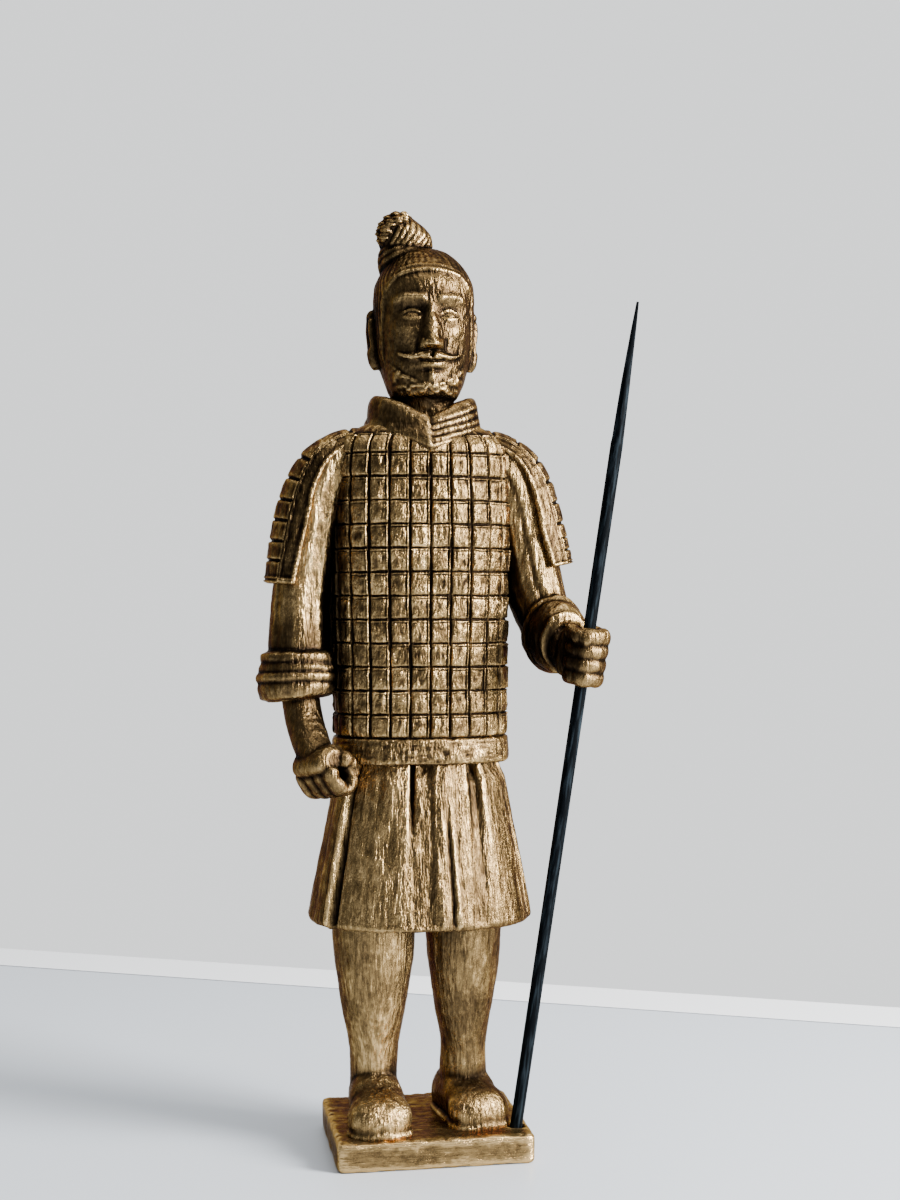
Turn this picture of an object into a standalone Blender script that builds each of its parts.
"""A souvenir terracotta warrior: a soldier cast in one with his low base, and the stick he holds as a spear.

Lengths are in metres, +Z is up and the soldier looks along -Y. The origin is the middle of the
base's underside. The base, the spear and their fits have sizes of their own. The figure is free
carving: its numbers are shares of its height, counted so that HEIGHT_SHARES of them reach from
the soles to the top of the hair knot.
"""

import math

import bmesh
import bpy
import numpy as np
from mathutils import Matrix, Vector

BASE_WIDTH = 0.048
BASE_DEPTH = 0.040
BASE_THICKNESS = 0.007
BASE_EDGE = 0.0007

FIGURE_HEIGHT = 0.2255
FIGURE_SIDE_SHIFT = -0.0012

SPEAR_DIAMETER = 0.003
SPEAR_LENGTH = 0.205
SPEAR_POINT_LENGTH = 0.034
SPEAR_TIP_DIAMETER = 0.0006
SPEAR_SIDE_INSET = 0.0032
SPEAR_FRONT_INSET = 0.0083
SPEAR_CLEARANCE = 0.0003
SOCKET_DEPTH = 0.004

HEIGHT_SHARES = 225.5
ROUND_SIDES = 12
PLATE_COLUMNS = 24
PLATE_ROWS = 12
GUARD_COLUMNS = 3
GUARD_ROWS = 9
SIDES = (("right", -1), ("left", 1))
GUARD_ENDS = {"right": 132.0, "left": 136.5}

BRONZE_PAINT = (0.36, 0.24, 0.12)
BLACK_PAINT = (0.012, 0.015, 0.02)


def shares(value):
    """A length given in shares of the figure's height, in metres."""
    return value * FIGURE_HEIGHT / HEIGHT_SHARES


def to_world(points):
    """Points of the figure, in shares from its soles, as world points in metres."""
    return shares(np.asarray(points, float)) + (FIGURE_SIDE_SHIFT, 0, BASE_THICKNESS)


def clear_scene():
    for thing in list(bpy.data.objects):
        bpy.data.objects.remove(thing)


def paint(name, colour, roughness, metallic):
    material = bpy.data.materials.new(name)
    material.use_nodes = True
    shader = material.node_tree.nodes["Principled BSDF"]
    shader.inputs["Base Color"].default_value = (*colour, 1)
    shader.inputs["Roughness"].default_value = roughness
    shader.inputs["Metallic"].default_value = metallic
    return material


# The carver's tools: outlines, smooth curves and skins over rings of points


def smooth_rows(rows, count):
    """Rows of numbers read off a smooth curve that passes through the given rows."""
    keys = np.array(rows, float)
    padded = np.vstack([2 * keys[0] - keys[1], keys, 2 * keys[-1] - keys[-2]])
    read = []
    for place in np.linspace(0, len(keys) - 1, count):
        first = min(int(place), len(keys) - 2)
        t = place - first
        a, b, c, d = padded[first : first + 4]
        read.append(b + 0.5 * t * (c - a + t * (2 * a - 5 * b + 4 * c - d + t * (3 * (b - c) + d - a))))
    return np.array(read)


def oval(half_width, half_depth, count, power=2.0):
    """An outline of evenly spaced points, an ellipse at power 2 and squarer above it.

    It starts at the back, so that a column of its points runs down the spine.
    """
    turn = np.linspace(0, 2 * math.pi, 721) + math.pi / 2
    wave = np.stack([np.cos(turn), np.sin(turn)])
    x, y = np.sign(wave) * np.abs(wave) ** (2 / power) * [[half_width], [half_depth]]
    run = np.concatenate([[0], np.cumsum(np.hypot(np.diff(x), np.diff(y)))])
    even = np.linspace(0, run[-1], count, endpoint=False)
    return np.interp(even, run, x), np.interp(even, run, y)


def flat_rings(rows, count, power=2.0):
    """Level rings from rows of height, half width, half depth, middle x and middle y."""
    rings = []
    for z, half_width, half_depth, x, y in rows:
        across, along = oval(half_width, half_depth, count, power)
        rings.append(np.stack([x + across, y + along, np.full(count, z)], axis=1))
    return np.array(rings)


def limb_rings(rows, side, count, sides, power=2.0):
    """Rings across a limb, from rows of x, y, z, half width along side and half depth across it."""
    rows = smooth_rows(rows, count)
    rings = []
    for row, heading in zip(rows, np.gradient(rows[:, :3], axis=0)):
        ahead = Vector(heading).normalized()
        across = Vector(side)
        across = (across - ahead * across.dot(ahead)).normalized()
        other = ahead.cross(across)
        x, y = oval(row[3], row[4], sides, power)
        rings.append(row[:3] + np.outer(x, across) + np.outer(y, other))
    return np.array(rings)


def skin(name, rings, material):
    """One closed solid over rings of points in order, each end closed towards its middle."""
    count, sides = rings.shape[:2]
    mesh = bpy.data.meshes.new(name)
    body = bmesh.new()
    vertices = [body.verts.new(point) for point in to_world(rings.reshape(-1, 3))]
    for ring in range(count - 1):
        for side in range(sides):
            after = (side + 1) % sides
            low, high = ring * sides, (ring + 1) * sides
            body.faces.new([vertices[n] for n in (low + side, low + after, high + after, high + side)])
    for ring in (0, count - 1):
        middle = body.verts.new(to_world(rings[ring].mean(axis=0)))
        for side in range(sides):
            edge = (ring * sides + side, ring * sides + (side + 1) % sides)
            body.faces.new([vertices[n] for n in edge] + [middle])
    bmesh.ops.recalc_face_normals(body, faces=body.faces)
    body.to_mesh(mesh)
    body.free()
    return add_object(name, mesh, material)


def add_object(name, mesh, material):
    """An object over a mesh, shaded smooth but for its sharp edges."""
    mesh.shade_smooth()
    mesh.set_sharp_from_angle(angle=math.radians(40))
    mesh.materials.append(material)
    thing = bpy.data.objects.new(name, mesh)
    bpy.context.scene.collection.objects.link(thing)
    return thing


def raise_plates(thing, plates, gap, height):
    """Raises the numbered faces of a skin, each as a plate of its own with sloping edges."""
    body = bmesh.new()
    body.from_mesh(thing.data)
    body.faces.ensure_lookup_table()
    faces = [body.faces[number] for number in plates]
    bmesh.ops.inset_individual(body, faces=faces, thickness=shares(gap), depth=shares(height))
    body.to_mesh(thing.data)
    body.free()


# The lower body


def make_base(material):
    """The low slab that is cast under the feet, with softly worn edges."""
    mesh = bpy.data.meshes.new("base")
    body = bmesh.new()
    size = Matrix.Diagonal((BASE_WIDTH, BASE_DEPTH, BASE_THICKNESS, 1))
    bmesh.ops.create_cube(body, size=1, matrix=Matrix.Translation((0, 0, BASE_THICKNESS / 2)) @ size)
    body.to_mesh(mesh)
    body.free()
    base = add_object("warrior_and_base", mesh, material)
    edge = base.modifiers.new("worn edges", "BEVEL")
    edge.width = BASE_EDGE
    edge.segments = 2
    return base


def make_shoe(name, ankle, toe, width, material):
    """A plain round-toed shoe from heel to toe, sunk a little into the base."""
    heading = np.array([toe[0] - ankle[0], toe[1] - ankle[1], 0.0])
    length = np.linalg.norm(heading)
    along = heading / length
    across = np.array([-along[1], along[0], 0])
    profile = (
        (-6.6, 2.2, 3.4), (-5.6, 4.6, 6.2), (-2.5, 6.0, 9.2), (2.0, 6.6, 11.0),
        (0.42 * length, 0.9 * width, 9.6), (0.68 * length, width, 8.8), (0.88 * length, 0.9 * width, 7.4),
        (length, 0.45 * width, 4.0),
    )
    rings = []
    for reach, half_width, top in smooth_rows(profile, 8):
        x, z = oval(half_width, (top + 2) / 2, 10, 2.3)
        middle = np.array([ankle[0], ankle[1], (top - 2) / 2]) + along * reach
        rings.append(middle + np.outer(x, across) + np.outer(z, (0, 0, 1)))
    return skin(name, np.array(rings), material)


def make_leg(name, x, calf, material):
    """A bare-looking trouser leg, from inside the shoe to inside the skirt."""
    rows = (
        (x, 1.0, 3, 5.4, 5.9), (x, 1.0, 12, 5.7, 6.3), (x, 0.8, 19, 0.61 * calf, 0.66 * calf),
        (x, 0.6, 28, 0.78 * calf, 0.82 * calf), (x, 0.4, 38, 0.93 * calf, 0.96 * calf),
        (x, 0.4, 46, calf, 1.02 * calf), (x, 0.4, 56, 1.03 * calf, 1.06 * calf),
    )
    return skin(name, limb_rings(rows, (1, 0, 0), 6, 12), material)


def pleat_depth(angle, fall):
    """How far the skirt's cloth is drawn in at an angle round it, with fall 0 at its top and 1 at its hem."""
    folds = (
        (-145, 5, 0.5, 1.0), (-102.5, 4, 0.8, 1.1), (-94, 6, 0.4, 0.5), (-79.5, 3.5, 0.0, 0.5),
        (-61, 6, 0.6, 0.9), (-27, 6, 0.4, 1.0), (6, 7, 0.5, 1.0), (38, 6, 0.6, 0.8), (68, 7, 0.4, 1.0),
        (98, 5, 0.7, 0.9), (127, 7, 0.5, 1.0), (156, 6, 0.6, 0.8), (186, 7, 0.4, 1.0),
    )
    depth = np.zeros_like(angle)
    for middle, width, above, below in folds:
        away = (np.degrees(angle) - middle + 180) % 360 - 180
        depth = np.maximum(depth, (above + (below - above) * fall) * np.exp(-((away / width) ** 2)))
    return depth


def make_skirt(material):
    """The flared robe below the armour, with folds that deepen towards the hem."""
    profile = (
        (89, 19.8, 14.4), (80, 22.3, 16.4), (68, 24.6, 18.6), (58, 26.6, 20.4), (51, 27.8, 21.4),
        (49.6, 27.2, 20.8),
    )
    rings = []
    for z, half_width, half_depth in smooth_rows(profile, 5):
        x, y = oval(half_width, half_depth, 54, 2.15)
        fall = (89 - z) / 39
        drawn_in = 1 - (0.035 + 0.07 * fall) * pleat_depth(np.arctan2(y / half_depth, x / half_width), fall)
        rings.append(np.stack([x * drawn_in, y * drawn_in, np.full(len(x), z)], axis=1))
    return skin("skirt", np.array(rings), material)


# The armour


def make_armour(material):
    """The trunk in its coat of plates, edged below by a plain band."""
    low, high = 95.4, 164.5
    band = ((86.8, 20.2, 13.8), (87.4, 21.9, 15.5), (94.0, 22.1, 15.7), (low - 0.3, 21.4, 15.0))
    trunk = (
        (low, 20.9, 14.5), (112, 20.9, 14.5), (130, 21.2, 14.9), (147, 21.7, 15.3), (high, 21.5, 14.3),
    )
    slope = ((168.8, 19.2, 12.4), (172.0, 14.5, 10.4), (174.0, 9.0, 8.0))
    rows = [*band, *smooth_rows(trunk, PLATE_ROWS + 1), *slope]
    armour = skin("armour", flat_rings([(*row, 0, 0) for row in rows], PLATE_COLUMNS, 2.4), material)
    plates = []
    for row in range(PLATE_ROWS + 1):
        hidden = 0 if row < 6 else 1 if row < 9 else 2
        for column in range(PLATE_COLUMNS):
            from_side = abs((column + 0.5) % (PLATE_COLUMNS / 2) - PLATE_COLUMNS / 4)
            if from_side > hidden:
                plates.append((len(band) + row) * PLATE_COLUMNS + column)
    raise_plates(armour, plates, 0.7, 0.8)
    return armour


def make_guard(name, side, end_height, material):
    """The plated flap over a shoulder, from beside the collar down the outside of the arm."""
    path = (
        (13.0, 0, 162.9), (18.0, 0, 162.4), (22.2, 0, 160.0), (25.0, 0, 155.6), (26.9, 0, 150.0),
        (28.3, 0, 144.0), (29.2, 0, 0.5 * (144 + end_height)), (29.9, 0, end_height),
    )
    spine = smooth_rows(path, GUARD_ROWS + 2)
    reach = smooth_rows(((7.9,), (8.2,), (8.4,), (8.3,)), GUARD_ROWS + 2)[:, 0]
    half_spread = smooth_rows(((52,), (74,), (82,), (76,)), GUARD_ROWS + 2)[:, 0]
    columns = GUARD_COLUMNS + 2
    rings = []
    for middle, heading, radius, spread in zip(spine, np.gradient(spine, axis=0), reach, half_spread):
        ahead = heading / np.linalg.norm(heading)
        outward = np.array([-ahead[2], 0, ahead[0]])
        angles = [*np.linspace(-spread, spread, columns + 1), spread, -spread]
        lengths = [radius] * (columns + 1) + [radius - 2.6] * 2
        ring = []
        for angle, length in zip(np.radians(angles), lengths):
            point = middle + length * (outward * math.cos(angle) + np.array([0, -math.sin(angle), 0]))
            ring.append(point * (side, 1, 1))
        rings.append(ring)
    guard = skin(name, np.array(rings), material)
    sides = columns + 3
    plates = [row * sides + column for row in range(GUARD_ROWS) for column in range(1, columns - 1)]
    raise_plates(guard, plates, 0.5, 0.55)
    return guard


# The arms and hands


def make_rolled_cuff(name, start, end, radius, material):
    """A sleeve rolled up into a thick ring of three soft turns."""
    start, end = np.array(start, float), np.array(end, float)
    swell = ((0, 0.82), (0.14, 1.0), (0.32, 0.92), (0.5, 1.0), (0.66, 0.92), (0.84, 0.99), (1, 0.84))
    rows = [(*(start + (end - start) * t), radius * s, radius * s) for t, s in swell]
    return skin(name, limb_rings(rows, (1, 0, 0), len(swell), 12), material)


def fist_frame(axis, palm):
    """Three square directions of a fist: along what it grips, towards the palm, and the third."""
    axis = Vector(axis).normalized()
    palm = Vector(palm)
    palm = (palm - axis * palm.dot(axis)).normalized()
    return np.array(axis), np.array(palm), np.array(axis.cross(palm))


def arc_rows(middle, frame, radius, start, end, thickness, lift=0.0):
    """Rows for a finger that curls round the grip, from angle start to angle end."""
    axis, palm, other = frame
    rows = []
    for share in np.linspace(0, 1, 5):
        angle = math.radians(start + (end - start) * share)
        point = middle + radius * (palm * math.cos(angle) + other * math.sin(angle)) + axis * lift * share
        rows.append((*point, thickness, thickness))
    return rows


def make_fist(name, middle, axis, palm, grip_radius, turn, forearm, material):
    """A forearm and its closed hand: four fingers round a grip, the palm behind it, the thumb across.

    turn is 1 where the fingers curl from the palm towards the frame's third direction.
    """
    middle = np.array(middle, float)
    frame = fist_frame(axis, palm)
    finger = 1.95
    pitch = 3.45
    reach = grip_radius + 0.86 * finger
    made = []
    for number in range(4):
        at = middle + frame[0] * pitch * (1.5 - number)
        size = finger * (0.97, 1.0, 0.97, 0.88)[number]
        rows = arc_rows(at, frame, reach, 48 * turn, 292 * turn, size)
        made.append(skin(f"{name}_finger_{number + 1}", rounded(limb_rings(rows, frame[0], 4, 6)), material))
    at = middle + frame[0] * pitch * 1.75
    thumb = arc_rows(at, frame, reach + 0.6, -40 * turn, -150 * turn, 2.05, -1.6)
    made.append(skin(f"{name}_thumb", rounded(limb_rings(thumb, frame[0], 3, 6)), material))
    heel = middle + frame[1] * (grip_radius + 2.9)
    span = 1.9 * pitch
    outline = ((-1, 2.0, 2.4), (-0.75, 3.1, 4.6), (0, 3.4, 5.0), (0.75, 3.1, 4.6), (1, 2.0, 2.4))
    rows = [(*(heel + frame[0] * span * t), width, depth) for t, width, depth in outline]
    made.append(skin(f"{name}_palm", limb_rings(rows, frame[1], 5, 8), material))
    rows = [*((*place, 5.2, 4.9) for place in forearm), (*heel, 3.8, 4.6)]
    made.append(skin(f"{name}_forearm", limb_rings(rows, frame[1], 5, 8), material))
    return made


def rounded(rings):
    """Rings with a smaller one added beyond each end, so that the skin closes as a fingertip."""
    def tip(end, inner):
        middle = end.mean(axis=0)
        radius = np.linalg.norm(end - middle, axis=1).mean()
        ahead = middle - inner.mean(axis=0)
        return middle + 0.62 * (end - middle) + 0.72 * radius * ahead / np.linalg.norm(ahead)
    return np.concatenate([[tip(rings[0], rings[1])], rings, [tip(rings[-1], rings[-2])]])


def make_right_arm(material):
    """The arm that hangs, its sleeve rolled to below the elbow and its fist closed on nothing."""
    sleeve = (
        (-15, 0, 165, 5.0, 7.5), (-21, 0, 162.5, 7.6, 7.9), (-25.2, 0, 155, 7.6, 7.9),
        (-27.8, 0.2, 143, 7.2, 7.6), (-29.6, 0.5, 130, 7.0, 7.4), (-30.3, 0.4, 119, 7.4, 7.8),
        (-30.3, 0.2, 111, 7.2, 7.6),
    )
    forearm = ((-30.2, 0, 109), (-29.6, -1.6, 102), (-28.2, -4.6, 96))
    made = [skin("right_sleeve", limb_rings(sleeve, (1, 0, 0), 7, 10), material)]
    made.append(make_rolled_cuff("right_cuff", (-30.3, 0.2, 116.6), (-30.3, -0.4, 103.8), 9.0, material))
    palm = (-0.62, 0.1, 0.78)
    made += make_fist("right_fist", (-23.8, -11.6, 86.4), (0.12, -1, 0.06), palm, 1.6, 1, forearm, material)
    return made


def make_left_arm(grip, along, material):
    """The arm that holds the spear, bent so that its fist comes forward."""
    sleeve = (
        (15, 0, 165, 5.0, 7.5), (20.5, 0, 162.5, 7.4, 7.9), (24.4, 0, 155, 7.4, 7.9),
        (27.0, 0, 143, 7.2, 7.6), (29.2, -0.5, 131, 7.6, 7.8), (30.4, -3.0, 122.5, 7.8, 7.8),
        (31.2, -8.0, 119, 7.4, 7.4),
    )
    forearm = ((30.6, -6, 120), (32.2, -12, 118.4), grip + (-2.6, 8.0, 1.2))
    made = [skin("left_sleeve", limb_rings(sleeve, (1, 0, 0), 8, 10), material)]
    made.append(make_rolled_cuff("left_cuff", (29.9, -3.4, 121.4), (32.6, -15.0, 118.2), 9.0, material))
    grip_radius = (SPEAR_DIAMETER / 2 + SPEAR_CLEARANCE) / shares(1)
    made += make_fist("left_fist", grip, along, (-0.25, 1, 0.1), grip_radius, -1, forearm, material)
    return made


# The head


def make_collar(material):
    """The scarf wound round the neck in ridged turns that dip to a point on the chest."""
    turns = (
        (177.0, 9.2, 8.6, 171.5, 9.0), (179.2, 11.8, 10.0, 173.3, 10.8), (178.0, 13.3, 11.4, 172.2, 12.4),
        (176.2, 12.7, 11.0, 170.6, 12.4), (175.0, 14.0, 12.2, 169.4, 14.0), (173.2, 13.2, 11.8, 167.9, 13.8),
        (171.8, 14.2, 12.8, 166.4, 15.4), (168.0, 12.4, 12.0, 164.2, 13.5),
    )
    rings = []
    for side_height, half_width, back, front_height, front in turns:
        x, y = oval(half_width, back, 20)
        dip = np.clip(1 - np.abs(x) / half_width, 0, 1) * (y < 0)
        y = y * (1 + (front / back - 1) * dip)
        rings.append(np.stack([x + 0.7, y, side_height + (front_height - side_height) * dip], axis=1))
    return skin("collar", np.array(rings), material)


def mound(x, z, middle_x, middle_z, half_width, half_height):
    """A soft round rise, 1 in its middle."""
    return np.exp(-(((x - middle_x) / half_width) ** 2) - ((z - middle_z) / half_height) ** 2)


def face_relief(x, z):
    """How far the calm, evenly proportioned face stands forward of the plain head at x and height z."""
    side = np.abs(x)
    nose_run = np.clip((201.5 - z) / 10.5, 0, 1)
    nose = (0.6 + 3.2 * nose_run) * np.exp(-((x / (1.3 + 1.0 * nose_run)) ** 2))
    relief = nose * np.clip((z - 189.6) / 1.2, 0, 1) * (z < 203)
    relief += 1.2 * mound(side, z, 2.2, 191.4, 1.3, 1.4)
    relief -= 1.5 * mound(side, z, 4.8, 198.2, 3.0, 2.6)
    relief += 1.2 * mound(side, z, 4.8, 198.0, 2.0, 1.2)
    relief += 0.9 * mound(side, z, 4.8, 202.0, 3.6, 1.2)
    relief += 0.8 * mound(side, z, 6.6, 193.4, 3.0, 3.2)
    relief += 1.2 * mound(side, z, 3.0, 188.6, 4.2, 1.0)
    relief -= 0.5 * mound(side, z, 0, 186.8, 3.4, 0.6)
    relief += 0.9 * mound(x, z, 0, 185.2, 2.8, 0.9)
    relief += 1.3 * mound(x, z, 0, 181.2, 3.2, 2.6)
    return relief


def make_head(material):
    """The head from the throat to the crown, with the hair as a close cap above the brow."""
    profile = (
        (171, 7.8, 8.0, 7.8), (177.6, 7.6, 9.0, 7.8), (179.2, 8.6, 11.6, 8.0), (183.5, 10.5, 12.3, 8.6),
        (188, 11.5, 12.6, 10.4), (193, 12.1, 12.8, 13.2), (198, 12.4, 12.8, 14.8), (203, 12.5, 12.8, 15.2),
        (207, 12.1, 12.3, 14.8), (210.5, 10.4, 10.6, 13.2), (213.5, 8.0, 8.0, 10.4), (215.4, 5.4, 5.2, 7.0),
        (216.4, 2.2, 2.2, 3.0),
    )
    heights = (
        171, 177.2, 179.0, 181.2, 183.6, 185.4, 186.9, 188.6, 190.0, 191.4, 194.0, 196.4, 198.2, 200.0, 202.0,
        205.0, 208.2, 209.8, 212.4, 214.6, 216.2,
    )
    curve = smooth_rows(profile, 240)
    rings = []
    for z in heights:
        half_width, front, back = (np.interp(z, curve[:, 0], curve[:, column]) for column in (1, 2, 3))
        turn = np.linspace(0, 2 * math.pi, 24, endpoint=False)
        turn = turn + 0.42 * np.sin(turn)
        across, along = np.sin(turn), np.cos(turn)
        x = half_width * np.sign(across) * np.abs(across) ** 0.92
        y = np.where(along < 0, front, back) * np.sign(along) * np.abs(along) ** 0.92
        hairline = np.interp(along, (-1, -0.76, -0.51, -0.4, -0.3), (209.0, 207.6, 203, 196, 170))
        bare = 1 - np.clip((z - hairline) / 1.0, 0, 1)
        y = y - bare * np.clip((-along - 0.25) / 0.4, 0, 1) * face_relief(x, z)
        drawn_in = 1 - 0.05 * bare
        rings.append(np.stack([x * drawn_in + 0.9, y * drawn_in, np.full(len(x), z)], axis=1))
    return skin("head", np.array(rings), material)


def make_ear(name, side, material):
    """A long ear with a heavy lobe, standing a little away from the head."""
    rows = (
        (12.0, 1.7, 200.6, 1.0, 1.0), (12.6, 2.7, 198.8, 1.4, 2.4), (12.7, 2.5, 195.0, 1.4, 2.6),
        (12.3, 1.4, 190.8, 1.5, 1.9), (11.8, 1.1, 187.8, 1.5, 1.7), (11.3, 1.1, 186.1, 0.9, 1.0),
    )
    rows = [(side * x + 0.9, y, z, width, depth) for x, y, z, width, depth in rows]
    return skin(name, limb_rings(rows, (1, 0, 0), 6, 8), material)


def make_hair_knot(material):
    """The coiled knot of hair on the right of the crown, twisted into thick strands."""
    profile = (
        (207, 5.6, -2.4), (210.8, 6.4, -3.0), (213.8, 6.8, -3.5), (216.2, 6.1, -3.2), (218.0, 6.8, -3.2),
        (220.8, 6.5, -4.1), (222.9, 4.9, -5.0), (224.6, 3.0, -5.4), (225.5, 1.0, -5.8),
    )
    rings = []
    for z, radius, x in smooth_rows(profile, 9):
        turn = np.linspace(0, 2 * math.pi, 14, endpoint=False)
        reach = radius * (1 + 0.06 * np.cos(4 * turn + 0.55 * (z - 207)))
        across, along = reach * np.cos(turn), 0.92 * reach * np.sin(turn)
        rings.append(np.stack([x + across, 1.5 + along, np.full(14, z)], axis=1))
    return skin("hair_knot", np.array(rings), material)


# The spear and the two holes that it fits


def spear_line(grip):
    """Where the spear stands on the floor of its socket, and its direction through the fist."""
    foot = Vector((BASE_WIDTH / 2 - SPEAR_SIDE_INSET, SPEAR_FRONT_INSET - BASE_DEPTH / 2, BASE_THICKNESS))
    along = (Vector(to_world(grip)) - foot).normalized()
    bottom = foot - along * (SOCKET_DEPTH / along.z)
    return bottom + along * (SPEAR_CLEARANCE + SPEAR_DIAMETER * math.hypot(along.x, along.y)), along


def stick(name, bottom, along, profile, sides, material):
    """A round stick from rows of distance along it and radius."""
    mesh = bpy.data.meshes.new(name)
    body = bmesh.new()
    rings = []
    for reach, radius in profile:
        place = Matrix.Translation((0, 0, reach))
        circle = bmesh.ops.create_circle(body, segments=sides, radius=radius, matrix=place)
        rings.append(circle["verts"])
    for low, high in zip(rings, rings[1:]):
        for side in range(sides):
            after = (side + 1) % sides
            body.faces.new((low[side], low[after], high[after], high[side]))
    body.faces.new(rings[0])
    body.faces.new(rings[-1])
    bmesh.ops.recalc_face_normals(body, faces=body.faces)
    body.to_mesh(mesh)
    body.free()
    rod = add_object(name, mesh, material)
    rod.location = bottom
    rod.rotation_euler = along.to_track_quat("Z", "Y").to_euler()
    return rod


def make_spear(bottom, along, material):
    """The black stick, its end whittled to a long slender point."""
    shoulder = SPEAR_LENGTH - SPEAR_POINT_LENGTH
    radius, tip = SPEAR_DIAMETER / 2, SPEAR_TIP_DIAMETER / 2
    profile = (
        (0, radius), (shoulder, radius), (shoulder + 0.4 * SPEAR_POINT_LENGTH, tip + 0.72 * (radius - tip)),
        (shoulder + 0.8 * SPEAR_POINT_LENGTH, tip + 0.3 * (radius - tip)), (SPEAR_LENGTH, tip),
    )
    return stick("spear", bottom, along, profile, ROUND_SIDES, material)


def cut(casting, name, bottom, along, radius, length, material):
    """Cuts a round hole into the casting with a hidden rod."""
    rod = stick(name, bottom, along, ((0, radius), (length, radius)), ROUND_SIDES, material)
    rod.hide_render = True
    rod.display_type = "WIRE"
    hole = casting.modifiers.new(name, "BOOLEAN")
    hole.operation = "DIFFERENCE"
    hole.object = rod


def main():
    clear_scene()
    bronze = paint("bronze paint", BRONZE_PAINT, 0.42, 0.85)
    black = paint("black paint", BLACK_PAINT, 0.5, 0.0)
    grip = np.array((36.4, -23.6, 115.2))
    bottom, along = spear_line(grip)

    casting = make_base(bronze)
    carved = [
        make_shoe("right_shoe", (-11.5, 1.2), (-12.1, -17.6), 8.6, bronze),
        make_shoe("left_shoe", (10.4, 3.6), (14.2, -14.0), 8.2, bronze),
        make_leg("right_leg", -11.6, 10.3, bronze),
        make_leg("left_leg", 11.0, 9.5, bronze),
        make_skirt(bronze),
        make_armour(bronze),
        *(make_guard(f"{name}_shoulder_guard", side, GUARD_ENDS[name], bronze) for name, side in SIDES),
        *make_right_arm(bronze),
        *make_left_arm(grip, along, bronze),
        make_collar(bronze),
        make_head(bronze),
        *(make_ear(f"{name}_ear", side, bronze) for name, side in SIDES),
        make_hair_knot(bronze),
    ]
    whole = bpy.data.collections.new("carved forms")
    bpy.context.scene.collection.children.link(whole)
    for form in carved:
        whole.objects.link(form)
        bpy.context.scene.collection.objects.unlink(form)
        form.hide_render = True
        form.display_type = "WIRE"
    union = casting.modifiers.new("one casting", "BOOLEAN")
    union.operation = "UNION"
    union.operand_type = "COLLECTION"
    union.collection = whole

    hole = SPEAR_DIAMETER / 2 + SPEAR_CLEARANCE
    socket_floor = bottom - along * SPEAR_CLEARANCE
    cut(casting, "spear_hole", socket_floor, along, hole, SPEAR_LENGTH, black)
    make_spear(bottom, along, black)


main()
